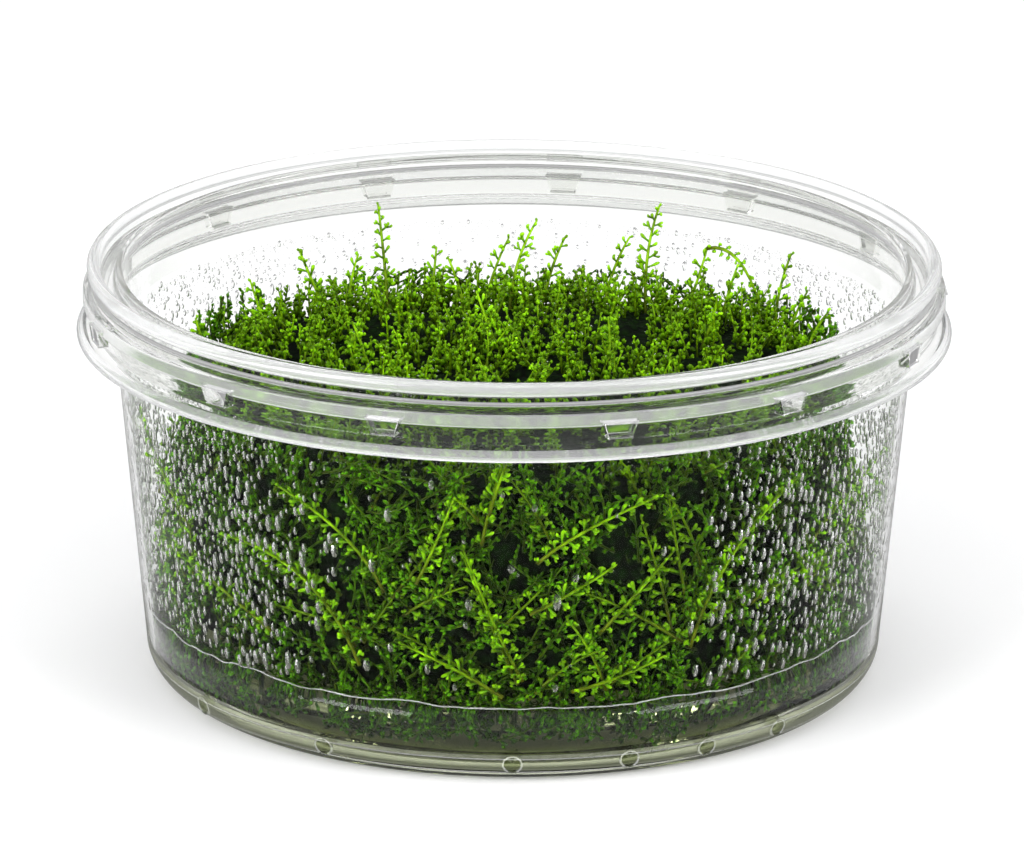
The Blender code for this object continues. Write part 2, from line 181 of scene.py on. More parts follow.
# The cup: one thin clear moulding with floor, tapered wall, upright lip, lid gutter, rolled bead,
# stepped collar and a flared skirt that hangs free of the wall. Stacking lugs hang below the step,
# and small round pips stand on the foot's corner.
CUP_HEIGHT = cad_high[2]
SKIRT_RADIUS = cad_high[0]
BEAD_RADIUS = 0.0500
LIP_OUTER = 0.04665
LIP_INNER = 0.0458
LIP_TOP = CUP_HEIGHT - 0.0009
GUTTER_OUTER = 0.0484
GUTTER_FLOOR = CUP_HEIGHT - 0.0020
WALL = 0.0008
FLOOR_TOP = 0.0014
FOOT_CORNER = 0.0040
INNER_CORNER = 0.0032
STRAIGHT_FROM = 0.0364
COLLAR = 0.0496
STEP = 0.0505
STEP_TOP, STEP_BOTTOM = 0.0467, 0.0451
SKIRT_TOP, SKIRT_BOTTOM = 0.0431, 0.0413
FOOT_RING_INNER = 0.0362
FOOT_RECESS = 0.0005
FOOT_TURNS = (0, 5, 9, 11, 17, 24, 31, 38, 40.2, 48, 56, 64, 72, 81, 90)
FOOT_LINES = (0.00330, 0.00148)
TURN_STEPS = 192
LUG_AZIMUTHS = (-160, -133, -106, -73, -41.7, -16.8, 13.6, 38.3, 65, 92, 119, 146, 173)
LUG_WIDTH, LUG_FOOT, LUG_BOTTOM = 0.0039, 0.0027, 0.0436
PIP_AZIMUTHS = (0, 18, 31, 45, -30, -56, 90, 120, 150, 180, -90, -120, -150)
PIP_RADIUS = 0.0012
PIP_HEIGHT = 0.0026


def wall_radius(height):
    tapered = 0.0431 + 0.0909 * min(height, STRAIGHT_FROM)
    share = max(0.0, height - STRAIGHT_FROM) / (CUP_HEIGHT - STRAIGHT_FROM)
    return tapered + (LIP_OUTER - tapered) * min(1.0, 2.0 * share)


def inner_radius(height):
    return wall_radius(height) - WALL


def around(radius, azimuth, height):
    """Place on a round wall. Azimuth is in degrees, 0 at the front and positive to the right."""
    angle = math.radians(azimuth)
    return Vector((radius * math.sin(angle), -radius * math.cos(angle), height))


def arc(centre_r, centre_z, radius, start, end, steps):
    """Points on a round stretch of a turned outline, from start to end in degrees."""
    angles = [math.radians(start + (end - start) * i / steps) for i in range(steps + 1)]
    return [(centre_r + radius * math.cos(a), centre_z + radius * math.sin(a)) for a in angles]


def rounded(points, radius, steps=3):
    """The outline with each inner corner cut by a small curve of about that radius."""
    made = [points[0]]
    for before, here, after in zip(points, points[1:], points[2:]):
        a, b, c = Vector(before), Vector(here), Vector(after)
        reach = min(radius, (a - b).length * 0.45, (c - b).length * 0.45)
        start, end = b + (a - b).normalized() * reach, b + (c - b).normalized() * reach
        for i in range(steps + 1):
            t = i / steps
            made.append(tuple((1 - t) ** 2 * start + 2 * t * (1 - t) * b + t * t * end))
    made.append(points[-1])
    return made


def spin_profile(bm, profile, steps):
    """Turns the outline (r, z) round the Z axis into a closed skin."""
    verts = [bm.verts.new((r, 0.0, z)) for r, z in profile]
    edges = [bm.edges.new(pair) for pair in zip(verts, verts[1:])]
    bmesh.ops.spin(
        bm, geom=verts + edges, cent=(0, 0, 0), axis=(0, 0, 1), angle=2 * math.pi, steps=steps,
        use_merge=True,
    )
    bmesh.ops.remove_doubles(bm, verts=bm.verts, dist=0.000002)
    bmesh.ops.recalc_face_normals(bm, faces=bm.faces)


def cup_outline():
    corner_r = inner_radius(FLOOR_TOP + INNER_CORNER) - INNER_CORNER
    foot_r = wall_radius(FOOT_CORNER) - FOOT_CORNER
    bead = (BEAD_RADIUS - GUTTER_OUTER) / 2
    inside = arc(corner_r, FLOOR_TOP + INNER_CORNER, INNER_CORNER, -90, 0, 10)
    wall_up = [(inner_radius(z), z) for z in (0.012, 0.020, 0.028, STRAIGHT_FROM, 0.0400)]
    lip = rounded(
        [(LIP_INNER, SKIRT_TOP), (LIP_INNER, LIP_TOP), (LIP_OUTER, LIP_TOP),
         (LIP_OUTER, GUTTER_FLOOR), (GUTTER_OUTER, GUTTER_FLOOR), (GUTTER_OUTER, CUP_HEIGHT - bead)],
        0.00028,
    )
    rolled = arc(BEAD_RADIUS - bead, CUP_HEIGHT - bead, bead, 165, -60, 14)
    skirt = rounded(
        [rolled[-1], (COLLAR, STEP_TOP + 0.0010), (COLLAR, STEP_TOP), (STEP, STEP_TOP),
         (STEP, STEP_BOTTOM), (COLLAR, STEP_BOTTOM - 0.0001), (COLLAR, SKIRT_TOP),
         (SKIRT_RADIUS - 0.0005, SKIRT_TOP - 0.0007), (SKIRT_RADIUS, SKIRT_BOTTOM + 0.0004),
         (SKIRT_RADIUS - 0.0001, SKIRT_BOTTOM), (SKIRT_RADIUS - 0.0008, SKIRT_BOTTOM),
         (SKIRT_RADIUS - 0.0013, SKIRT_TOP - 0.0009), (COLLAR - 0.0008, SKIRT_TOP - 0.0002),
         (COLLAR - 0.0008, GUTTER_FLOOR - WALL), (LIP_OUTER, GUTTER_FLOOR - WALL),
         (wall_radius(SKIRT_BOTTOM), SKIRT_BOTTOM), (wall_radius(STRAIGHT_FROM), STRAIGHT_FROM)],
        0.00030,
    )
    wall_down = [(wall_radius(z), z) for z in (0.028, 0.020, 0.012)]
    turns = [math.radians(-turn) for turn in FOOT_TURNS]
    foot = [(foot_r + FOOT_CORNER * math.cos(a), FOOT_CORNER * (1.0 + math.sin(a))) for a in turns]
    under = [(FOOT_RING_INNER, 0.0), (FOOT_RING_INNER - FOOT_RECESS, FOOT_RECESS), (0.0, FOOT_RECESS)]
    return [(0.0, FLOOR_TOP)] + inside + wall_up + lip + rolled + skirt[1:] + wall_down + foot + under


def add_lug(bm, azimuth):
    """A trapezoid block with soft edges, fused under the step."""
    made = bmesh.ops.create_cube(bm, size=1.0)["verts"]
    edges = list({edge for vert in made for edge in vert.link_edges})
    for vert in made:
        low = vert.co.z < 0
        across = vert.co.x * (LUG_FOOT if low else LUG_WIDTH)
        out = STEP + 0.0001 - (0.5 - vert.co.y) * 0.0013 - (0.0002 if low else 0.0)
        up = LUG_BOTTOM if low else STEP_BOTTOM + 0.0004
        vert.co = around(out, azimuth + math.degrees(across / out), up)
    bmesh.ops.bevel(
        bm, geom=edges, offset=0.00022, offset_type="OFFSET", segments=2, profile=0.5,
        affect="EDGES", material=-1,
    )


def add_pip(bm, azimuth):
    """A low round button with a raised edge, on the outside of the foot's corner."""
    outline = [(0.0, 0.1), (0.80, 0.1), (0.90, 0.26), (1.0, 0.1), (1.0, -0.5), (0.0, -0.5)]
    known = set(bm.verts)
    pip = bmesh.new()
    spin_profile(pip, [(r, z) for r, z in outline], 24)
    shape = bpy.data.meshes.new("pip")
    pip.to_mesh(shape)
    pip.free()
    bm.from_mesh(shape)
    bpy.data.meshes.remove(shape)
    seat = around(wall_radius(PIP_HEIGHT) - 0.0002, azimuth, PIP_HEIGHT)
    tilt = Euler((math.radians(90 + 12), 0.0, math.radians(azimuth))).to_matrix()
    for vert in bm.verts:
        if vert not in known:
            flat = Vector((vert.co.x * PIP_RADIUS, vert.co.y * PIP_RADIUS * 0.95, vert.co.z * 0.0006))
            vert.co = seat + tilt @ flat
    return [face for face in bm.faces if not known.intersection(face.verts)
            and (face.calc_center_median() - seat).length > 0.82 * PIP_RADIUS]


def clear_plastic(name, index, see_through, frost, body=(0.985, 0.990, 0.990)):
    """Clear moulded plastic with faint flow marks. With less see-through and more roughness its white base shows pale,
    which is painted light.
    """
    material = bpy.data.materials.new(name)
    material.use_nodes = True
    nodes, links = material.node_tree.nodes, material.node_tree.links
    shader = nodes["Principled BSDF"]
    shader.inputs["Base Color"].default_value = (*body, 1.0)
    shader.inputs["Transmission Weight"].default_value = see_through
    shader.inputs["IOR"].default_value = index
    coords = nodes.new("ShaderNodeTexCoord")
    flow = nodes.new("ShaderNodeTexNoise")
    flow.inputs["Scale"].default_value = 55.0
    flow.inputs["Detail"].default_value = 3.0
    links.new(coords.outputs["Object"], flow.inputs["Vector"])
    rough = nodes.new("ShaderNodeMapRange")
    rough.inputs["From Min"].default_value = 0.35
    rough.inputs["From Max"].default_value = 0.70
    rough.inputs["To Min"].default_value = frost
    rough.inputs["To Max"].default_value = frost + 0.03
    links.new(flow.outputs["Fac"], rough.inputs["Value"])
    links.new(rough.outputs["Result"], shader.inputs["Roughness"])
    bump = nodes.new("ShaderNodeBump")
    bump.inputs["Strength"].default_value = 0.12
    bump.inputs["Distance"].default_value = 0.0002
    links.new(flow.outputs["Fac"], bump.inputs["Height"])
    links.new(bump.outputs["Normal"], shader.inputs["Normal"])
    return material


def add_piece(name, mesh, material, smooth=True):
    piece = bpy.data.objects.new(name, mesh)
    bpy.context.scene.collection.objects.link(piece)
    mesh.materials.append(material)
    if smooth:
        mesh.shade_smooth()
    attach(piece, "root")
    return piece


def make_cup():
    bm = bmesh.new()
    spin_profile(bm, cup_outline(), TURN_STEPS)
    for azimuth in LUG_AZIMUTHS:
        add_lug(bm, azimuth)
    pale_edges = set()
    for azimuth in PIP_AZIMUTHS:
        pale_edges.update(add_pip(bm, azimuth))
    # Painted light: the bead, the step, the skirt, the pips' edges and two thin lines round the foot get the pale band
    # material, whose diffuse white stands in for light carried inside the plastic and for bright refraction lines.
    for face in bm.faces:
        middle = face.calc_center_median()
        out = math.hypot(middle.x, middle.y)
        on_bead = out > GUTTER_OUTER - 0.0002 and middle.z > CUP_HEIGHT - 0.0014
        on_step = out > STEP - 0.0002 and STEP_BOTTOM - 0.0003 < middle.z < STEP_TOP
        on_skirt = out > SKIRT_RADIUS - 0.0010 and middle.z < SKIRT_TOP - 0.0003
        if on_bead or on_step or on_skirt or face in pale_edges:
            face.material_index = 2
        elif middle.z > SKIRT_BOTTOM:
            face.material_index = 1
        elif any(abs(middle.z - line) < 0.00008 for line in FOOT_LINES) and out > 0.0405:
            face.material_index = 2
        # Painted shade: the foot's corner gets a darker olive-grey tint.
        elif middle.z < FOOT_CORNER:
            face.material_index = 3
    mesh = bpy.data.meshes.new("clear_cup")
    bm.to_mesh(mesh)
    bm.free()
    cup = add_piece("clear_cup", mesh, clear_plastic("thin clear wall", 1.12, 1.0, 0.0, (0.96, 0.965, 0.96)))
    mesh.materials.append(clear_plastic("clear rim", 1.24, 1.0, 0.03, (0.92, 0.925, 0.91)))
    mesh.materials.append(clear_plastic("pale bands of painted light", 1.40, 0.80, 0.16))
    mesh.materials.append(clear_plastic("olive foot with painted shade", 1.28, 1.0, 0.02, (0.62, 0.66, 0.47)))
    mesh.set_sharp_from_angle(angle=math.radians(50))
    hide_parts("cup")


make_cup()


# The moss's tangled cushion. Deep inside, old stems make it dark, and its nearly black green is partly
# painted shade. It is a lumpy dark body a little inside the cushion's outline, and the leafy shoots grow out over it.
MAT_TOP = 0.0386
MAT_SHOULDER = 0.0358
MAT_CLEAR_OF_WALL = 0.0020
MAT_BACK_DROP = 0.0042
MAT_BACK_FROM = 0.014
MAT_SHRUNK = 0.0050
MAT_SHRUNK_FROM = 0.010
MAT_LEVELS = ((0.0105, 0.0018), (0.0066, 0.0037), (0.0044, 0.0062), (0.0028, 0.0108))
CORE_INSET = 0.0016
CORE_LUMP = 0.0014


def smooth_step(value, start, end):
    share = np.clip((value - start) / (end - start), 0.0, 1.0)
    return share * share * (3 - 2 * share)


def sunk(y, height):
    """How far the back of the cushion has sunk at this place."""
    back = smooth_step(y, MAT_BACK_FROM, LIP_OUTER)
    return MAT_BACK_DROP * back * smooth_step(height, 0.024, MAT_SHOULDER)


def shrunk(x, y, height):
    """How far the cushion has drawn back from the wall here: it does so high up at both sides."""
    away = np.abs(np.degrees(np.arctan2(x, -y)))
    side = smooth_step(away, 45, 80) * (1.0 - smooth_step(away, 110, 150))
    return MAT_SHRUNK * side * smooth_step(height, MAT_SHRUNK_FROM, MAT_SHOULDER)


def mat_top(x, y):
    """Height of the cushion's top, without its tufts."""
    reach = inner_radius(MAT_SHOULDER) - MAT_CLEAR_OF_WALL - shrunk(x, y, MAT_SHOULDER)
    share = np.minimum(1.0, np.hypot(x, y) / reach)
    height = MAT_TOP - (MAT_TOP - MAT_SHOULDER) * share**4
    return height - sunk(y, MAT_SHOULDER)


def deep_moss():
    material = bpy.data.materials.new("deep moss with painted shade")
    material.use_nodes = True
    nodes, links = material.node_tree.nodes, material.node_tree.links
    shader = nodes["Principled BSDF"]
    shader.inputs["Roughness"].default_value = 0.85
    shader.inputs["Specular IOR Level"].default_value = 0.1
    coords = nodes.new("ShaderNodeTexCoord")
    cells = nodes.new("ShaderNodeTexVoronoi")
    cells.inputs["Scale"].default_value = 900.0
    links.new(coords.outputs["Object"], cells.inputs["Vector"])
    ramp = nodes.new("ShaderNodeValToRGB")
    # Painted shade: these near-black greens stand partly for old stems and partly for shade deep in the cushion.
    ramp.color_ramp.elements[0].color = (0.005, 0.022, 0.0005, 1.0)
    ramp.color_ramp.elements[1].color = (0.0005, 0.003, 0.0, 1.0)
    ramp.color_ramp.elements[1].position = 0.7
    links.new(cells.outputs["Distance"], ramp.inputs[0])
    links.new(ramp.outputs["Color"], shader.inputs["Base Color"])
    bump = nodes.new("ShaderNodeBump")
    bump.inputs["Strength"].default_value = 0.9
    bump.inputs["Distance"].default_value = 0.0006
    bump.invert = True
    links.new(cells.outputs["Distance"], bump.inputs["Height"])
    links.new(bump.outputs["Normal"], shader.inputs["Normal"])
    return material


def make_core():
    bm = bmesh.new()
    outline = [(0.0, MAT_TOP - CORE_INSET)]
    for share in np.linspace(0.1, 1.0, 16):
        reach = (inner_radius(MAT_SHOULDER) - MAT_CLEAR_OF_WALL - CORE_INSET) * share
        outline.append((reach, MAT_TOP - (MAT_TOP - MAT_SHOULDER) * share**4 - CORE_INSET))
    for height in np.linspace(MAT_SHOULDER - 0.003, 0.0125, 15):
        outline.append((inner_radius(height) - MAT_CLEAR_OF_WALL - CORE_INSET, height))
    for height, inset in MAT_LEVELS:
        outline.append((inner_radius(0.0105) - MAT_CLEAR_OF_WALL - inset, height + 0.0010))
    outline.append((0.0, 0.0030))
    spin_profile(bm, outline, 128)
    for vert in bm.verts:
        out = math.hypot(vert.co.x, vert.co.y)
        full = inner_radius(MAT_SHOULDER) - MAT_CLEAR_OF_WALL - CORE_INSET
        drawn_in = float(shrunk(vert.co.x, vert.co.y, vert.co.z)) * min(1.0, out / full)
        vert.co.xy *= 1.0 - drawn_in / max(out, 1e-6)
        vert.co.z -= sunk(vert.co.y, vert.co.z)
        lump = noise.noise(vert.co / 0.0032) + 0.5 * noise.noise(vert.co / 0.0014)
        vert.co += vert.normal * lump * CORE_LUMP
    mesh = bpy.data.meshes.new("moss_core")
    bm.to_mesh(mesh)
    bm.free()
    core = add_piece("moss_core", mesh, deep_moss())
    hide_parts("moss_mat")


make_core()


# The shoots. A shoot is a thread-thin stem with soft blunt leaflets on both sides, which lean to
# its tip, fork near its foot and are shortest at its end. The leaflets' bright ends are painted light, standing in for
# light that shines through them.
STEM_RADIUS = 0.00027
LEAFLET_RADIUS = 0.00019
FINE_LEAFLET = ((0.0, 0.60), (0.38, 0.62), (0.70, 1.02), (0.91, 0.86), (1.0, 0.0))
SMALL_LEAFLET = ((0.0, 0.62), (0.70, 1.15), (1.0, 0.0))


def shape_arrays(bm):
    """A finished shape's vertex places and triangles, to be copied many times."""
    bmesh.ops.recalc_face_normals(bm, faces=bm.faces)
    bmesh.ops.triangulate(bm, faces=bm.faces)
    bm.verts.index_update()
    places = np.array([vert.co[:] for vert in bm.verts])
    faces = np.array([[vert.index for vert in face.verts] for face in bm.faces])
    bm.free()
    return places, faces


def club(sides, profile):
    """A closed blunt club along Z. The profile is (height, radius) from its foot to its tip."""
    bm = bmesh.new()
    bmesh.ops.create_circle(bm, segments=sides, radius=profile[0][1])
    foot = list(bm.edges)
    rim = foot
    for (low, wide), (high, narrow) in zip(profile, profile[1:]):
        made = bmesh.ops.extrude_edge_only(bm, edges=rim)["geom"]
        rim = [item for item in made if isinstance(item, bmesh.types.BMEdge)]
        ring = [item for item in made if isinstance(item, bmesh.types.BMVert)]
        scale = max(narrow, 0.001) / wide
        bmesh.ops.scale(bm, vec=(scale, scale, 1.0), verts=ring)
        bmesh.ops.translate(bm, vec=(0.0, 0.0, high - low), verts=ring)
    bmesh.ops.pointmerge(bm, verts=ring, merge_co=(0.0, 0.0, profile[-1][0]))
    bmesh.ops.edgeloop_fill(bm, edges=foot)
    return shape_arrays(bm)


def unit(vectors):
    return vectors / np.linalg.norm(vectors, axis=-1, keepdims=True)


def set_out(shape, foot, way, out, length, width, curl):
    """Copies of a club, one for each row: it stands on foot, points along way, curls to out."""
    places, faces = shape
    way = unit(way)
    side = unit(np.cross(way, out))
    out = np.cross(side, way)
    x, y, z = (places[:, i][None, :, None] for i in range(3))
    length, width, curl = (value[:, None, None] for value in (length, width, curl))
    made = foot[:, None] + way[:, None] * z * length + out[:, None] * curl * length * z**2
    made = made + (side[:, None] * x + out[:, None] * y) * width
    copies = len(foot)
    all_faces = faces[None] + (np.arange(copies) * len(places))[:, None, None]
    leaf = np.broadcast_to(places[None, :, 2], (copies, len(places)))
    return made.reshape(-1, 3), all_faces.reshape(-1, 3), leaf.reshape(-1)


def joined(parts):
    """Several (places, faces, leaf) as one."""
    starts = np.cumsum([0] + [len(part[0]) for part in parts[:-1]])
    places = np.concatenate([part[0] for part in parts])
    faces = np.concatenate([part[1] + start for part, start in zip(parts, starts)])
    return places, faces, np.concatenate([part[2] for part in parts])


def grow_shoot(length, spacing, leaflet, stem_sides, forks, longest, rng, spread=0.42, thin=1.0,
               plump=1.0):
    """One straight shoot along Z, flat in XZ: places, faces and how far out on a leaflet."""
    knots = max(4, int(length / 0.0012))
    profile = [(i / knots, 1.0 - 0.45 * i / knots) for i in range(knots)] + [(0.985, 0.5), (1.0, 0.0)]
    stem = club(stem_sides, profile)
    one = np.ones(1)
    line = np.array([[0.0, 0.0, 1.0]])
    stem_part = set_out(
        stem, np.zeros((1, 3)), line, np.array([[0.0, 1.0, 0.0]]), one * length,
        one * STEM_RADIUS * thin, one * 0.0,
    )
    stem_part = (stem_part[0], stem_part[1], stem_part[2] * 0.0)
    count = int(length * 0.97 / spacing)
    share = (np.arange(count) + 0.35 + rng.uniform(-0.22, 0.22, count)) / count
    side = np.where(np.arange(count) % 2, 1.0, -1.0)
    swell = np.interp(share, (0.0, 0.12, 0.40, 0.75, 0.93, 1.0), (0.55, 0.85, 1.0, 0.80, 0.50, 0.25))
    size = longest * swell * rng.uniform(0.72, 1.12, count)
    lean = np.radians(np.interp(share, (0.0, 0.8, 1.0), (72, 58, 32)) + rng.normal(0, 8, count))
    roll = rng.normal(0.0, spread, count)
    way = np.stack([side * np.sin(lean) * np.cos(roll), np.sin(lean) * np.sin(roll), np.cos(lean)], 1)
    foot = np.stack([np.zeros(count), np.zeros(count), share * length], 1)
    inward = np.stack([-side * 0.5, rng.normal(0, 0.6, count), np.ones(count)], 1)
    width = LEAFLET_RADIUS * plump * rng.uniform(0.85, 1.2, count) * (0.8 + 0.3 * swell)
    curl = rng.uniform(0.05, 0.34, count) + (0.25 if spread > 1 else 0.0)
    parts = [stem_part, set_out(leaflet, foot, way, inward, size, width, curl)]
    for turn in forks:
        likely = (0.95, 0.70, 0.10) if turn > 0 else (0.75, 0.35, 0.0)
        picked = rng.random(count) < np.interp(share, (0.0, 0.7, 1.0), likely)
        start = foot[picked] + way[picked] * (size[picked] * rng.uniform(0.38, 0.6, picked.sum()))[:, None]
        angle = turn * side[picked] + rng.normal(0, 0.15, picked.sum())
        old = way[picked]
        bent = np.stack(
            [old[:, 0] * np.cos(angle) + old[:, 2] * np.sin(angle),
             old[:, 1] + rng.normal(0, 0.3, len(old)),
             old[:, 2] * np.cos(angle) - old[:, 0] * np.sin(angle)], 1)
        parts.append(set_out(
            leaflet, start, bent, inward[picked], size[picked] * rng.uniform(0.42, 0.62, len(old)),
            width[picked] * 0.9, curl[picked],
        ))
    return joined(parts)


def curve_places(points, share):
    """Places and directions on the smooth curve that starts at a, passes b halfway, ends at c."""
    a, b, c = (np.asarray(points, dtype=float)[..., i, :] for i in range(3))
    control = 2.0 * b - 0.5 * (a + c)
    t = share[..., None]
    place = (1 - t) ** 2 * a + 2 * (1 - t) * t * control + t**2 * c
    way = 2 * (1 - t) * (control - a) + 2 * t * (c - control)
    return place, unit(way)


def stand_along(shoot, length, points, facing):
    """Bends a straight shoot along a curve in space, its flat side turned to facing."""
    places = shoot[0]
    place, way = curve_places(points, places[:, 2] / length)
    out = np.asarray(facing, dtype=float) - way * (way @ np.asarray(facing, dtype=float))[:, None]
    out = unit(out)
    side = np.cross(way, out)
    return place + side * places[:, :1] + out * places[:, 1:2]


def press_along(shoot, length, points, depth):
    """Bends a straight shoot along a curve (azimuth, height) on the wall, depth inside it."""
    places = shoot[0]
    flat = np.array([(math.radians(a) * inner_radius(h), h) for a, h in points])
    place, way = curve_places(flat, places[:, 2] / length)
    u = place[:, 0] + way[:, 1] * places[:, 0]
    v = place[:, 1] - way[:, 0] * places[:, 0]
    wall = np.array([inner_radius(h) for h in v])
    angle = u / np.array([inner_radius(h) for h in place[:, 1]])
    radius = wall - depth + places[:, 1]
    return np.stack([radius * np.sin(angle), -radius * np.cos(angle), v], 1)


def shoot_mesh(name, places, faces, leaf, along, tone):
    """A joined mesh of shoots with the attribute that its colours follow."""
    mesh = bpy.data.meshes.new(name)
    mesh.from_pydata(places, [], faces)
    shade = mesh.attributes.new("shade", "FLOAT_COLOR", "POINT")
    values = np.stack([along, leaf, tone, np.ones(len(leaf))], 1)
    shade.data.foreach_set("color", values.astype(np.float32).ravel())
    return mesh


def leafy(name, old, young, inner, tip, sheen):
    """Moss: stems olive at the foot, their darkness there partly painted shade, and fresh at the tip; leaflets dark
    inside with bright ends, painted light for light shining through them.
    """
    material = bpy.data.materials.new(name)
    material.use_nodes = True
    nodes, links = material.node_tree.nodes, material.node_tree.links
    shader = nodes["Principled BSDF"]
    shader.inputs["Roughness"].default_value = 0.38
    shader.inputs["Specular IOR Level"].default_value = 0.22
    shader.inputs["Specular Tint"].default_value = (0.80, 0.95, 0.25, 1.0)
    shader.inputs["Sheen Weight"].default_value = sheen
    shader.inputs["Sheen Roughness"].default_value = 0.35
    shader.inputs["Sheen Tint"].default_value = (0.55, 0.90, 0.08, 1.0)
    shade = nodes.new("ShaderNodeAttribute")
    shade.attribute_name = "shade"
    split = nodes.new("ShaderNodeSeparateColor")
    links.new(shade.outputs["Color"], split.inputs[0])
    # Partly painted shade: the stems' dark olive foot colour stands in partly for shade low in the cushion.
    along = nodes.new("ShaderNodeMix")
    along.data_type = "RGBA"
    along.inputs[6].default_value = (*old, 1.0)
    along.inputs[7].default_value = (*young, 1.0)
    links.new(split.outputs[0], along.inputs[0])
    # Painted light: the leaflets' bright tip colour stands in for light shining through them.
    leaflet = nodes.new("ShaderNodeValToRGB")
    stops = leaflet.color_ramp.elements
    stops[0].color = (*inner, 1.0)
    stops[1].color = (*tip, 1.0)
    stops[0].position = 0.20
    stops[1].position = 0.95
    links.new(split.outputs[1], leaflet.inputs[0])
    on_leaflet = nodes.new("ShaderNodeMapRange")
    on_leaflet.inputs["From Min"].default_value = 0.0
    on_leaflet.inputs["From Max"].default_value = 0.25
    links.new(split.outputs[1], on_leaflet.inputs["Value"])
    lit = nodes.new("ShaderNodeMix")
    lit.data_type = "RGBA"
    links.new(on_leaflet.outputs["Result"], lit.inputs[0])
    links.new(along.outputs[2], lit.inputs[6])
    links.new(leaflet.outputs["Color"], lit.inputs[7])
    coords = nodes.new("ShaderNodeTexCoord")
    mottle = nodes.new("ShaderNodeTexNoise")
    mottle.inputs["Scale"].default_value = 700.0
    links.new(coords.outputs["Object"], mottle.inputs["Vector"])
    patches = nodes.new("ShaderNodeMapRange")
    patches.inputs["From Min"].default_value = 0.33
    patches.inputs["From Max"].default_value = 0.67
    patches.inputs["To Min"].default_value = 0.55
    patches.inputs["To Max"].default_value = 1.75
    links.new(mottle.outputs["Fac"], patches.inputs["Value"])
    tone = nodes.new("ShaderNodeMath")
    tone.operation = "MULTIPLY"
    links.new(patches.outputs["Result"], tone.inputs[0])
    links.new(split.outputs[2], tone.inputs[1])
    shades = nodes.new("ShaderNodeHueSaturation")
    links.new(lit.outputs[2], shades.inputs["Color"])
    links.new(tone.outputs[0], shades.inputs["Value"])
    links.new(shades.outputs["Color"], shader.inputs["Base Color"])
    bump = nodes.new("ShaderNodeBump")
    bump.inputs["Strength"].default_value = 0.35
    bump.inputs["Distance"].default_value = 0.00008
    links.new(mottle.outputs["Fac"], bump.inputs["Height"])
    links.new(bump.outputs["Normal"], shader.inputs["Normal"])
    return material


def settle(places):
    """Moves shoots that lie on the cushion's side in and down with it."""
    out = np.hypot(places[:, 0], places[:, 1])
    drawn_in = shrunk(places[:, 0], places[:, 1], places[:, 2])
    places[:, :2] *= (1.0 - drawn_in / out)[:, None]
    places[:, 2] -= sunk(places[:, 1], places[:, 2])
    return places


def deepness(places):
    """How far inside the cushion a place lies: 0 at its outside, 1 from a few millimetres in."""
    out = np.hypot(places[:, 0], places[:, 1])
    wall = np.array([inner_radius(h) for h in places[:, 2]])
    side = (wall - shrunk(places[:, 0], places[:, 1], places[:, 2]) - 0.0012 - out) / 0.0026
    above = (mat_top(places[:, 0], places[:, 1]) + 0.0014 - places[:, 2]) / 0.0042
    return np.clip(np.minimum(side, above), 0.0, 1.0)


DEEP_SHADE = 0.93
fine_leaflet = club(5, FINE_LEAFLET)
small_leaflet = club(3, SMALL_LEAFLET)
bright_moss = leafy(
    "bright moss", (0.060, 0.070, 0.002), (0.15, 0.31, 0.002), (0.034, 0.140, 0.001),
    (0.21, 0.48, 0.003), 0.12,
)
# Painted shade: mid moss is a darker copy of the bright moss, for shoots that lie deeper in the tangle and in the
# water.
shaded_mid_moss = leafy(
    "mid moss with painted shade", (0.032, 0.052, 0.001), (0.06, 0.16, 0.001), (0.010, 0.058, 0.001),
    (0.085, 0.285, 0.002), 0.06,
)


def add_shoots(name, material, parts, lengths, tones, nodes=()):
    """One piece from several bent shoots: each part is (straight shoot, bent places)."""
    places = np.concatenate([bent for _, bent in parts])
    starts = np.cumsum([0] + [len(bent) for _, bent in parts[:-1]])
    faces = np.concatenate([shoot[1] + start for (shoot, _), start in zip(parts, starts)])
    leaf = np.concatenate([shoot[2] for shoot, _ in parts])
    along = np.concatenate([shoot[0][:, 2] / length for (shoot, _), length in zip(parts, lengths)])
    tone = np.concatenate([np.full(len(bent), t) for (_, bent), t in zip(parts, tones)])
    # Painted shade: each shoot is coloured darker the deeper it lies inside the cushion.
    tone = tone * (1.0 - DEEP_SHADE * deepness(places))
    piece = add_piece(name, shoot_mesh(name, places, faces, leaf, np.clip(along * 1.6, 0, 1), tone), material)
    if nodes:
        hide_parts(*nodes)
    return piece


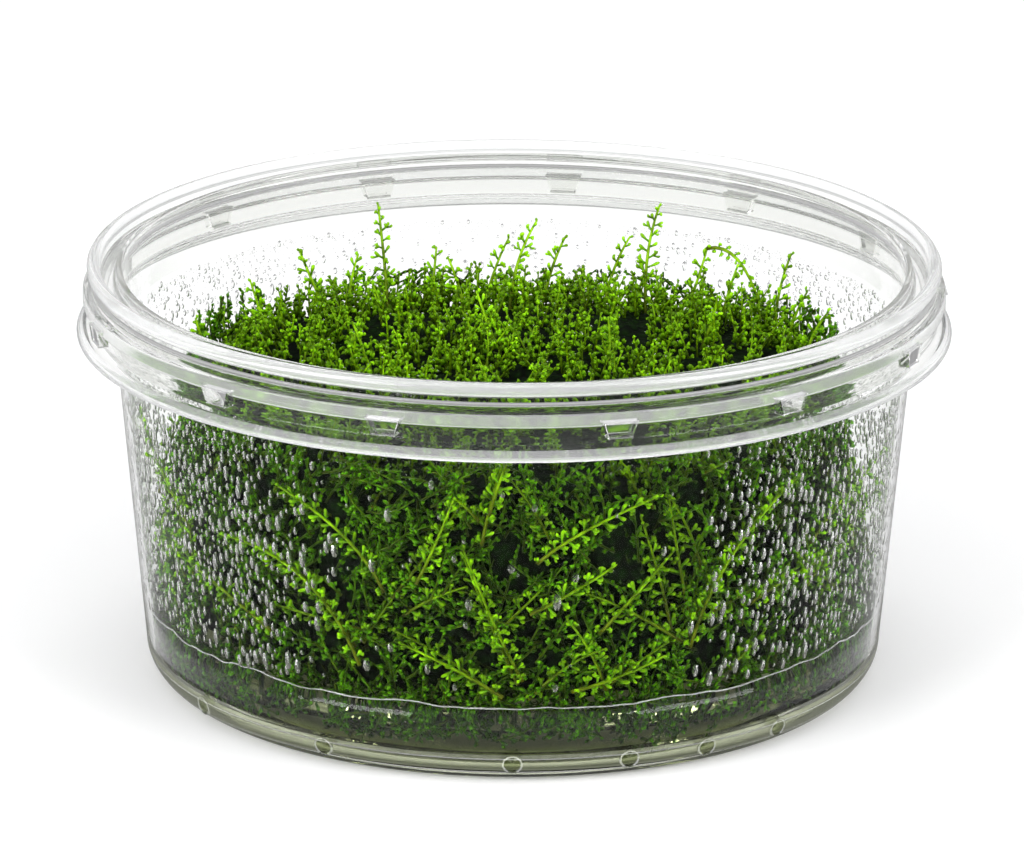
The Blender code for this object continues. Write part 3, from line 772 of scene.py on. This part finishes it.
# The standing shoots: tall leafy stems that reach up out of the cushion into the open mouth.
# Each starts in the cushion, leans a little and bends to its tip.
STANDING = (
    ((-0.0150, 0.0235), (-0.0165, 0.0280, 0.0481)),
    ((0.0160, 0.0230), (0.0176, 0.0280, 0.0482)),
    ((-0.0005, 0.0215), (0.0028, 0.0270, 0.0464)),
    ((0.0105, 0.0240), (0.0140, 0.0275, 0.0442)),
    ((-0.0040, 0.0260), (-0.0006, 0.0290, 0.0436)),
    ((0.0030, 0.0262), (0.0062, 0.0300, 0.0434)),
    ((-0.0215, 0.0200), (-0.0259, 0.0225, 0.0439)),
    ((-0.0100, 0.0250), (-0.0094, 0.0275, 0.0428)),
    ((-0.0055, 0.0195), (-0.0080, 0.0235, 0.0426)),
    ((0.0310, 0.0165), (0.0332, 0.0200, 0.0444)),
    ((0.0200, 0.0215), (0.0232, 0.0250, 0.0434)),
    ((0.0245, 0.0180), (0.0270, 0.0225, 0.0425)),
    ((-0.0200, 0.0240), (-0.0188, 0.0270, 0.0420)),
    ((-0.0285, 0.0110), (-0.0315, 0.0140, 0.0427)),
    ((0.0320, 0.0100), (0.0350, 0.0135, 0.0418)),
    ((-0.0345, 0.0010), (-0.0375, 0.0025, 0.0414)),
    ((0.0345, 0.0040), (0.0372, 0.0060, 0.0415)),
    ((-0.0165, -0.0040), (-0.0190, -0.0020, 0.0425)),
    ((0.0105, -0.0030), (0.0110, 0.0005, 0.0424)),
    ((-0.0020, 0.0050), (-0.0045, 0.0080, 0.0432)),
    ((0.0215, 0.0060), (0.0240, 0.0075, 0.0430)),
    ((-0.0255, -0.0190), (-0.0285, -0.0205, 0.0424)),
    ((0.0260, -0.0175), (0.0285, -0.0195, 0.0424)),
    ((0.0020, -0.0265), (0.0010, -0.0300, 0.0424)),
)
STANDING_FOOT_DEPTH = 0.0030
ARCHED = 10
ARCH = ((0.0232, 0.0250, 0.0434), (0.0264, 0.0232, 0.0430), (0.0290, 0.0212, 0.0390))


def curve_length(points):
    place, _ = curve_places(points, np.linspace(0, 1, 17))
    return float(np.linalg.norm(np.diff(place, axis=0), axis=1).sum())


def make_standing():
    rng = np.random.default_rng(11)
    for i, (foot, tip) in enumerate(STANDING):
        root = np.array([foot[0], foot[1], float(mat_top(*foot)) - STANDING_FOOT_DEPTH])
        end = np.array(tip)
        middle = (root + end) / 2 + np.array([rng.normal(0, 0.0005), rng.normal(0, 0.0005), 0.0004])
        points = np.array([root, middle, end])
        length = curve_length(points)
        shoot = grow_shoot(length, 0.00066, fine_leaflet, 6, (0.8, -0.8), 0.0017, rng, 0.6, 0.9, 1.1)
        facing = (rng.normal(0, 0.5), -1.0, 0.15)
        bent = stand_along(shoot, length, points, facing)
        parts, lengths, tones = [(shoot, bent)], [length], [rng.uniform(0.95, 1.25)]
        if i == ARCHED:
            points = np.array(ARCH)
            length = curve_length(points)
            shoot = grow_shoot(length, 0.00064, fine_leaflet, 6, (0.8, -0.8), 0.0011, rng)
            parts.append((shoot, stand_along(shoot, length, points, (0.2, -1.0, 0.3))))
            lengths.append(length)
            tones.append(tones[0])
        name = f"leafy_standing_{i + 1:02d}"
        add_shoots(name, bright_moss, parts, lengths, tones, [f"standing_frond_{i + 1:02d}"])


make_standing()


# The wall shoots: long stems pressed flat against the clear wall, where the light catches them.
# They are (azimuth in degrees, height) of root, middle and tip, and lie just inside the wall.
WALL_SHOOTS = (
    ((-19.5, 0.0225), (-26.0, 0.0290), (-37.0, 0.0335)),
    ((-24.0, 0.0130), (-34.0, 0.0230), (-50.5, 0.0250)),
    ((-1.5, 0.0105), (-9.5, 0.0140), (-17.5, 0.0165)),
    ((1.5, 0.0125), (-2.5, 0.0190), (-7.5, 0.0290)),
    ((2.5, 0.0208), (8.5, 0.0232), (15.5, 0.0265)),
    ((3.5, 0.0270), (11.0, 0.0310), (22.0, 0.0345)),
    ((-14.5, 0.0240), (-11.5, 0.0290), (-8.5, 0.0350)),
    ((-3.5, 0.0330), (-2.0, 0.0370), (-0.5, 0.0400)),
    ((13.0, 0.0180), (18.5, 0.0225), (24.5, 0.0275)),
    ((28.0, 0.0150), (35.0, 0.0260), (47.5, 0.0335)),
    ((38.5, 0.0188), (48.0, 0.0208), (62.0, 0.0215)),
    ((51.0, 0.0240), (62.0, 0.0285), (80.0, 0.0300)),
    ((-40.0, 0.0150), (-55.0, 0.0190), (-70.0, 0.0200)),
    ((-58.0, 0.0240), (-66.0, 0.0290), (-76.0, 0.0350)),
    ((9.0, 0.0110), (16.5, 0.0125), (24.0, 0.0145)),
    ((110.0, 0.0160), (118.0, 0.0230), (130.0, 0.0280)),
    ((150.0, 0.0150), (162.0, 0.0210), (178.0, 0.0250)),
    ((-100.0, 0.0180), (-112.0, 0.0240), (-126.0, 0.0280)),
    ((-168.0, 0.0240), (-156.0, 0.0290), (-142.0, 0.0310)),
)
WALL_SHOOT_DEPTH = 0.00085
CROSSING_SHOOTS = (
    ((-25.0, 0.0150), (-35.0, 0.0232), (-50.0, 0.0250)),
    ((-24.0, 0.0172), (-33.0, 0.0178), (-40.5, 0.0180)),
    ((-23.7, 0.0156), (-21.3, 0.0186), (-18.6, 0.0216)),
    ((-1.7, 0.0100), (-10.5, 0.0150), (-19.4, 0.0180)),
    ((0.8, 0.0120), (-3.4, 0.0196), (-7.5, 0.0280)),
    ((-2.0, 0.0186), (1.6, 0.0214), (5.2, 0.0243)),
    ((-18.7, 0.0217), (-13.0, 0.0275), (-7.0, 0.0350)),
    ((-4.7, 0.0290), (-2.7, 0.0360), (-0.8, 0.0405)),
    ((6.0, 0.0285), (3.2, 0.0330), (-0.4, 0.0370)),
    ((27.0, 0.0156), (18.5, 0.0200), (11.0, 0.0230)),
    ((14.6, 0.0107), (11.8, 0.0158), (8.0, 0.0200)),
    ((15.0, 0.0110), (20.0, 0.0138), (25.5, 0.0160)),
    ((2.5, 0.0100), (8.3, 0.0140), (14.4, 0.0160)),
    ((-5.0, 0.0320), (-7.2, 0.0338), (-9.3, 0.0350)),
    ((25.0, 0.0174), (22.2, 0.0248), (19.0, 0.0320)),
    ((28.0, 0.0190), (25.6, 0.0268), (23.6, 0.0340)),
    ((-17.0, 0.0196), (-12.0, 0.0222), (-7.0, 0.0238)),
    ((28.0, 0.0160), (36.0, 0.0262), (47.8, 0.0330)),
    ((30.4, 0.0178), (44.0, 0.0206), (63.0, 0.0210)),
    ((52.0, 0.0180), (69.0, 0.0238), (89.0, 0.0230)),
    ((29.4, 0.0360), (31.8, 0.0366), (34.0, 0.0370)),
    ((30.0, 0.0238), (27.4, 0.0290), (23.5, 0.0340)),
    ((35.7, 0.0110), (39.2, 0.0130), (42.8, 0.0148)),
)
CROSSING_DEPTH = (0.0011, 0.0019)
BACK_SHOOTS = 44


def wall_curve_length(points):
    flat = np.array([(math.radians(a) * inner_radius(h), h) for a, h in points])
    place, _ = curve_places(flat, np.linspace(0, 1, 17))
    return float(np.linalg.norm(np.diff(place, axis=0), axis=1).sum())


def make_wall_shoots():
    rng = np.random.default_rng(23)
    for i, points in enumerate(WALL_SHOOTS):
        length = wall_curve_length(points)
        shoot = grow_shoot(length, 0.00072, fine_leaflet, 6, (0.8, -0.8), 0.0017, rng, 0.42, 0.85, 1.2)
        bent = press_along(shoot, length, points, WALL_SHOOT_DEPTH)
        name = f"leafy_wall_{i + 1:02d}"
        tone = rng.uniform(0.85, 1.10)
        add_shoots(name, bright_moss, [(shoot, bent)], [length], [tone], [f"wall_frond_{i + 1:02d}"])


make_wall_shoots()


def make_crossing_shoots():
    """Shoots that lie over and under the first ones, and more of them round the sides and back."""
    rng = np.random.default_rng(29)
    routes = list(CROSSING_SHOOTS)
    for i in range(BACK_SHOOTS):
        azimuth = 58.0 + 244.0 * (i + rng.uniform(0.1, 0.9)) / BACK_SHOOTS
        height = rng.uniform(0.010, 0.023)
        rise, run = rng.uniform(0.005, 0.013), rng.uniform(-16, 16)
        bow = rng.uniform(-2.5, 2.5)
        routes.append((
            (azimuth, height), (azimuth + run / 2 + bow, height + rise * 0.55),
            (azimuth + run, height + rise),
        ))
    for number, picked in enumerate((routes[:23], routes[23:])):
        parts, lengths, tones = [], [], []
        for points in picked:
            length = wall_curve_length(points)
            shoot = grow_shoot(length, 0.00072, fine_leaflet, 5, (0.8, -0.8), 0.0016, rng, 0.42, 0.8, 1.2)
            bent = press_along(shoot, length, points, rng.uniform(*CROSSING_DEPTH))
            parts.append((shoot, settle(bent) if number else bent))
            lengths.append(length)
            tones.append(rng.uniform(0.55, 0.85))
        add_shoots(f"crossing_shoots_{number + 1}", bright_moss, parts, lengths, tones)


make_crossing_shoots()


# The tangle: hundreds of shorter shoots that lie over each other all round the cushion's side,
# coloured darker the deeper they lie, which is painted shade. They end raggedly in the water.
TANGLE_PATTERNS = 16
TANGLE_PIECES = 5
TANGLE_SHOOTS = 330


def make_patterns(count, lengths, spacing, longest, rng, spread=0.42):
    made = []
    for _ in range(count):
        length = rng.uniform(*lengths)
        shoot = grow_shoot(length, spacing, small_leaflet, 3, (0.9,), longest, rng, spread, 0.7, 1.25)
        made.append((shoot, length))
    return made


def make_tangle():
    rng = np.random.default_rng(37)
    patterns = make_patterns(TANGLE_PATTERNS, (0.0045, 0.0095), 0.00060, 0.00115, rng, 1.3)
    for number in range(TANGLE_PIECES):
        parts, lengths, tones = [], [], []
        for _ in range(TANGLE_SHOOTS):
            shoot, length = patterns[rng.integers(len(patterns))]
            azimuth = rng.uniform(-180, 180)
            height = rng.uniform(0.0045, 0.0385)
            heading = rng.uniform(0, 2 * math.pi) if rng.random() < 0.4 else rng.normal(math.pi / 2, 0.8)
            bow = rng.normal(0, 0.10) * length
            run = np.array([math.cos(heading), math.sin(heading)]) * length / 2
            across = np.array([-run[1], run[0]]) / (length / 2) * bow
            wall = inner_radius(height)
            low, high = 0.0050, 0.0395
            if height - abs(run[1]) < low or height + abs(run[1]) > high:
                height = min(max(height, low + abs(run[1])), high - abs(run[1]))
            points = [
                (azimuth + math.degrees(s * run[0] / wall + k * across[0] / wall), height + s * run[1] + k * across[1])
                for s, k in ((-1, 0), (0, 1), (1, 0))
            ]
            depth = rng.triangular(0.0013, 0.0018, 0.0040)
            bent = settle(press_along(shoot, length, points, depth))
            parts.append((shoot, bent))
            lengths.append(length)
            # Painted shade: shoots that lie deeper get a darker tone.
            tones.append(1.05 - 200 * (depth - 0.0013) + rng.uniform(-0.2, 0.3))
        add_shoots(f"moss_tangle_{number + 1}", shaded_mid_moss, parts, lengths, tones)


make_tangle()


# The ragged ends that hang into the water, olive and dull, with a clear gap below them.
HANGING_SHOOTS = 330


def make_hanging():
    rng = np.random.default_rng(43)
    patterns = make_patterns(6, (0.0045, 0.0080), 0.00060, 0.0014, rng, 0.9)
    parts, lengths, tones = [], [], []
    for _ in range(HANGING_SHOOTS):
        shoot, length = patterns[rng.integers(len(patterns))]
        azimuth = rng.uniform(-180, 180)
        place = Vector((math.sin(math.radians(azimuth)), math.cos(math.radians(azimuth)), 0.0))
        low = 0.0050 + 0.0038 * noise.noise(place * 5.5) + rng.normal(0, 0.0006)
        heading = -math.pi / 2 + rng.normal(0, 0.75)
        top = low + length * abs(math.sin(heading)) * 0.9
        side = math.degrees(length * math.cos(heading) / inner_radius(low))
        points = [(azimuth, top), (azimuth + side * 0.45, (low + top) / 2 + 0.0002), (azimuth + side, low)]
        depth = rng.triangular(0.0012, 0.0026, 0.0055)
        bent = press_along(shoot, length, points, depth)
        bent[:, 2] = np.maximum(bent[:, 2], 0.0022)
        parts.append((shoot, bent))
        lengths.append(length)
        tones.append(rng.uniform(0.90, 1.35))
    add_shoots("moss_in_water", shaded_mid_moss, parts, lengths, tones)


make_hanging()


# The top of the cushion: hundreds of small upright shoots.
TOP_PATTERNS = 12
TOP_PIECES = 2
TOP_SHOOTS = 475


def make_top():
    rng = np.random.default_rng(41)
    patterns = make_patterns(TOP_PATTERNS, (0.0045, 0.0080), 0.00060, 0.00110, rng, 0.9)
    for number in range(TOP_PIECES):
        parts, lengths, tones = [], [], []
        for _ in range(TOP_SHOOTS):
            shoot, length = patterns[rng.integers(len(patterns))]
            angle = rng.uniform(0, 2 * math.pi)
            reach = inner_radius(MAT_SHOULDER) - 0.0015
            reach -= float(shrunk(math.cos(angle), math.sin(angle), MAT_SHOULDER))
            out = reach * math.sqrt(rng.random())
            x, y = out * math.cos(angle), out * math.sin(angle)
            tilt = rng.uniform(0, 0.7)
            turn = rng.uniform(0, 2 * math.pi)
            lean = np.array([math.cos(turn) * math.sin(tilt), math.sin(turn) * math.sin(tilt), math.cos(tilt)])
            inward = max(0.0, (out - reach + 0.007) / 0.006) * 0.7
            lean[:2] -= np.array([x, y]) / max(out, 1e-6) * inward
            lean = lean / np.linalg.norm(lean)
            root = np.array([x, y, float(mat_top(x, y)) - 0.0035])
            end = root + lean * length
            middle = (root + end) / 2 + np.array([rng.normal(0, 0.0004), rng.normal(0, 0.0004), 0.0003])
            facing = (math.cos(turn + 1.57), math.sin(turn + 1.57), 0.2)
            bent = stand_along(shoot, length, np.array([root, middle, end]), facing)
            parts.append((shoot, bent))
            lengths.append(length)
            tones.append(rng.uniform(0.65, 1.10))
        add_shoots(f"moss_top_{number + 1}", bright_moss, parts, lengths, tones)


make_top()


# The condensation: beads of water on the cup's inner wall, dense at the sides and the back, few in
# front. The bigger ones sag a little under their weight, and high up a fine mist dulls the wall.
BEAD_COUNT = 4600
BEAD_RADIUS = (0.00018, 0.00052)
BEAD_LOW, BEAD_HIGH = 0.0104, 0.0408
MIST_COUNT = 2600
MIST_RADIUS = (0.00008, 0.00015)
MIST_LOW = 0.0368
DROP_BITE = 0.00003


def clear_water(name, tint, density):
    material = bpy.data.materials.new(name)
    material.use_nodes = True
    nodes, links = material.node_tree.nodes, material.node_tree.links
    shader = nodes["Principled BSDF"]
    shader.inputs["Base Color"].default_value = (0.995, 0.998, 0.99, 1.0)
    shader.inputs["Transmission Weight"].default_value = 1.0
    shader.inputs["IOR"].default_value = 1.333
    coords = nodes.new("ShaderNodeTexCoord")
    ripple = nodes.new("ShaderNodeTexNoise")
    ripple.inputs["Scale"].default_value = 180.0
    links.new(coords.outputs["Object"], ripple.inputs["Vector"])
    rough = nodes.new("ShaderNodeMapRange")
    rough.inputs["To Min"].default_value = 0.0
    rough.inputs["To Max"].default_value = 0.02
    links.new(ripple.outputs["Fac"], rough.inputs["Value"])
    links.new(rough.outputs["Result"], shader.inputs["Roughness"])
    if density:
        inside = nodes.new("ShaderNodeVolumeAbsorption")
        inside.inputs["Color"].default_value = (*tint, 1.0)
        inside.inputs["Density"].default_value = density
        links.new(inside.outputs["Volume"], nodes["Material Output"].inputs["Volume"])
    return material


def bead_density(azimuth, height):
    """How thickly the wall is beaded here, from 0 to 1."""
    away = abs((azimuth + 180) % 360 - 180)
    side = float(smooth_step(away, 25, 45))
    back = 1.0 - 0.75 * float(smooth_step(away, 130, 160))
    return (0.02 + 0.98 * side) * back * (0.65 + 0.35 * float(smooth_step(height, 0.011, 0.022)))


def scatter_on_wall(count, low, high, radii, density, rng, apart=1.02):
    """Places (length along the wall, height, radius) of drops that don't run into each other."""
    spots, kept = np.zeros((count, 3)), 0
    while kept < count:
        azimuth, height = rng.uniform(-180, 180), rng.uniform(low, high)
        if rng.random() > density(azimuth, height):
            continue
        radius = radii[0] + (radii[1] - radii[0]) * rng.random() ** 1.3
        radius *= 1.0 - 0.40 * float(smooth_step(height, 0.030, 0.040))
        u = math.radians(azimuth) * inner_radius(height)
        gaps = np.hypot(spots[:kept, 0] - u, (spots[:kept, 1] - height) * 0.75) - spots[:kept, 2]
        if kept and gaps.min() < radius * apart:
            continue
        spots[kept] = (u, height, radius)
        kept += 1
    return spots


def add_drops(name, shape, spots, material, sag, rng):
    """Domes of water on the wall, their flat side a little in it."""
    u, height, radius = spots.T
    count = len(spots)
    wall = np.array([inner_radius(h) for h in height])
    out = np.stack([np.sin(u / wall), -np.cos(u / wall), np.zeros(count)], 1)
    seat = out * (wall + DROP_BITE)[:, None] + np.array([0.0, 0.0, 1.0]) * height[:, None]
    up = np.tile([0.0, 0.0, 1.0], (count, 1))
    thick = radius * rng.uniform(0.38, 0.66, count) + DROP_BITE
    places, faces, _ = set_out(shape, seat, -out, up, thick, radius, np.zeros(count))
    stretch = np.repeat(1.0 + sag * rng.uniform(0.3, 1.0, count) * radius / BEAD_RADIUS[1], len(shape[0]))
    middle = np.repeat(height, len(shape[0]))
    places[:, 2] = middle + (places[:, 2] - middle) * stretch
    mesh = bpy.data.meshes.new(name)
    mesh.from_pydata(places, [], faces)
    add_piece(name, mesh, material)


def make_condensation():
    rng = np.random.default_rng(53)
    water = clear_water("bead of water", (1, 1, 1), 0.0)
    bead = club(7, ((0.0, 1.0), (0.62, 0.84), (1.0, 0.0)))
    speck = club(4, ((0.0, 1.0), (0.60, 0.80), (1.0, 0.0)))
    beads = scatter_on_wall(BEAD_COUNT, BEAD_LOW, BEAD_HIGH, BEAD_RADIUS, bead_density, rng)
    add_drops("condensation", bead, beads, water, 1.5, rng)
    thin_out = lambda azimuth, height: float(smooth_step(height, MIST_LOW, BEAD_HIGH))
    mist = scatter_on_wall(MIST_COUNT, MIST_LOW, BEAD_HIGH, MIST_RADIUS, thin_out, rng)
    add_drops("mist", speck, mist, water, 0.0, rng)
    return water


bead_water = make_condensation()


# Dew on the moss: tiny round beads of water that hang on the ends of the leaflets.
DEW_COUNT = 1500
DEW_RADIUS = (0.00009, 0.00017)


def leaflet_ends(rng):
    """Ends of leaflets that lie open at the outside of the moss, picked at random."""
    ends = []
    for piece in bpy.data.objects:
        if not piece.name.startswith(("moss_tangle", "moss_top", "leafy", "crossing")):
            continue
        count = len(piece.data.vertices)
        places, shade = np.empty(count * 3), np.empty(count * 4)
        piece.data.vertices.foreach_get("co", places)
        piece.data.attributes["shade"].data.foreach_get("color", shade)
        places, shade = places.reshape(-1, 3), shade.reshape(-1, 4)
        open_ends = (shade[:, 1] > 0.99) & (deepness(places) < 0.30)
        ends.append(places[open_ends])
    ends = np.concatenate(ends)
    return ends[rng.choice(len(ends), DEW_COUNT, replace=False)]


def add_balls(name, centres, radius, material):
    """One piece of many small round drops or bubbles."""
    bm = bmesh.new()
    bmesh.ops.create_icosphere(bm, subdivisions=1, radius=1.0)
    ball = shape_arrays(bm)
    count = len(centres)
    up = np.tile([0.0, 0.0, 1.0], (count, 1))
    side = np.tile([1.0, 0.0, 0.0], (count, 1))
    places, faces, _ = set_out(ball, centres, up, side, radius, radius, np.zeros(count))
    mesh = bpy.data.meshes.new(name)
    mesh.from_pydata(places, [], faces)
    add_piece(name, mesh, material)


def make_dew():
    rng = np.random.default_rng(59)
    radius = DEW_RADIUS[0] + (DEW_RADIUS[1] - DEW_RADIUS[0]) * rng.random(DEW_COUNT) ** 2
    add_balls("dew", leaflet_ends(rng), radius, bead_water)


make_dew()


# The water in the foot of the cup: olive from the moss, drawn up a little where it meets the wall,
# with a thin wavy pale ridge there, a painted highlight along the waterline. It holds fine bubbles.
WATER_LEVEL = 0.0090
WATER_STEPS = 180
MENISCUS = ((0.0034, 0.0), (0.0014, 0.00004), (0.0006, 0.00014), (0.0002, 0.00028), (0.0, 0.00040))
WATERLINE_RIDGE_RADIUS = 0.00009
WATERLINE_RIDGE_STEPS = 400
BUBBLE_COUNT = 420


def level_wave(x, y):
    """How much higher or lower the water's edge stands on the wall here."""
    flat = Vector((x, y, 0.0))
    return 0.0008 * (noise.noise(flat / 0.0065) * 0.7 + noise.noise(flat / 0.0024) * 0.35)


def make_water():
    bm = bmesh.new()
    corner_r = inner_radius(FLOOR_TOP + INNER_CORNER) - INNER_CORNER
    clear = 0.00005
    bend = arc(corner_r, FLOOR_TOP + INNER_CORNER, INNER_CORNER - clear, -90, 0, 8)
    outline = [(0.0290, FLOOR_TOP + clear)] + bend + [(inner_radius(0.007) - clear, 0.007)]
    for inset, rise in reversed(MENISCUS):
        outline.append((inner_radius(WATER_LEVEL + rise) - clear - inset, WATER_LEVEL + rise))
    outline += [(0.0345, WATER_LEVEL), (0.0345, 0.0046), (0.0290, FLOOR_TOP + clear)]
    spin_profile(bm, outline, WATER_STEPS)
    for vert in bm.verts:
        share = float(smooth_step(vert.co.z, 0.0070, WATER_LEVEL))
        near = float(smooth_step(math.hypot(vert.co.x, vert.co.y), 0.0385, 0.0425))
        vert.co.z += share * near * level_wave(vert.co.x, vert.co.y)
    bmesh.ops.recalc_face_normals(bm, faces=bm.faces)
    mesh = bpy.data.meshes.new("foot_water")
    bm.to_mesh(mesh)
    bm.free()
    water = add_piece("foot_water", mesh, clear_water("olive water", (0.60, 0.64, 0.36), 100.0))
    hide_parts("water")


def make_waterline_highlight():
    """The thin ridge where the water's edge clings to the wall, pale as a painted highlight of the waterline."""
    bm = bmesh.new()
    edge = inner_radius(WATER_LEVEL) - WATERLINE_RIDGE_RADIUS * 0.6
    centre = WATER_LEVEL + MENISCUS[-1][1]
    ring = arc(edge, centre, WATERLINE_RIDGE_RADIUS, 0, 360, 6)
    spin_profile(bm, ring, WATERLINE_RIDGE_STEPS)
    for vert in bm.verts:
        swell = 1.0 + 0.5 * noise.noise(Vector((vert.co.x, vert.co.y, 0.0)) / 0.0015)
        vert.co.z = centre + (vert.co.z - centre) * swell + level_wave(vert.co.x, vert.co.y)
    mesh = bpy.data.meshes.new("water_edge")
    bm.to_mesh(mesh)
    bm.free()
    # Painted highlight: the ridge's pale, part-frosted material stands in for the bright line of light along the
    # water's edge.
    add_piece("water_edge", mesh, clear_plastic("pale waterline highlight", 1.34, 0.70, 0.20))


def make_bubbles():
    rng = np.random.default_rng(61)
    azimuth = np.radians(rng.uniform(-180, 180, BUBBLE_COUNT))
    height = rng.uniform(0.0030, 0.0086, BUBBLE_COUNT)
    reach = np.array([inner_radius(h) for h in height]) - rng.triangular(0.0004, 0.0006, 0.0030, BUBBLE_COUNT)
    places = np.stack([reach * np.sin(azimuth), -reach * np.cos(azimuth), height], 1)
    radius = rng.uniform(0.00006, 0.00013, BUBBLE_COUNT)
    add_balls("bubbles", places, radius, bead_water)


make_water()
make_waterline_highlight()
make_bubbles()
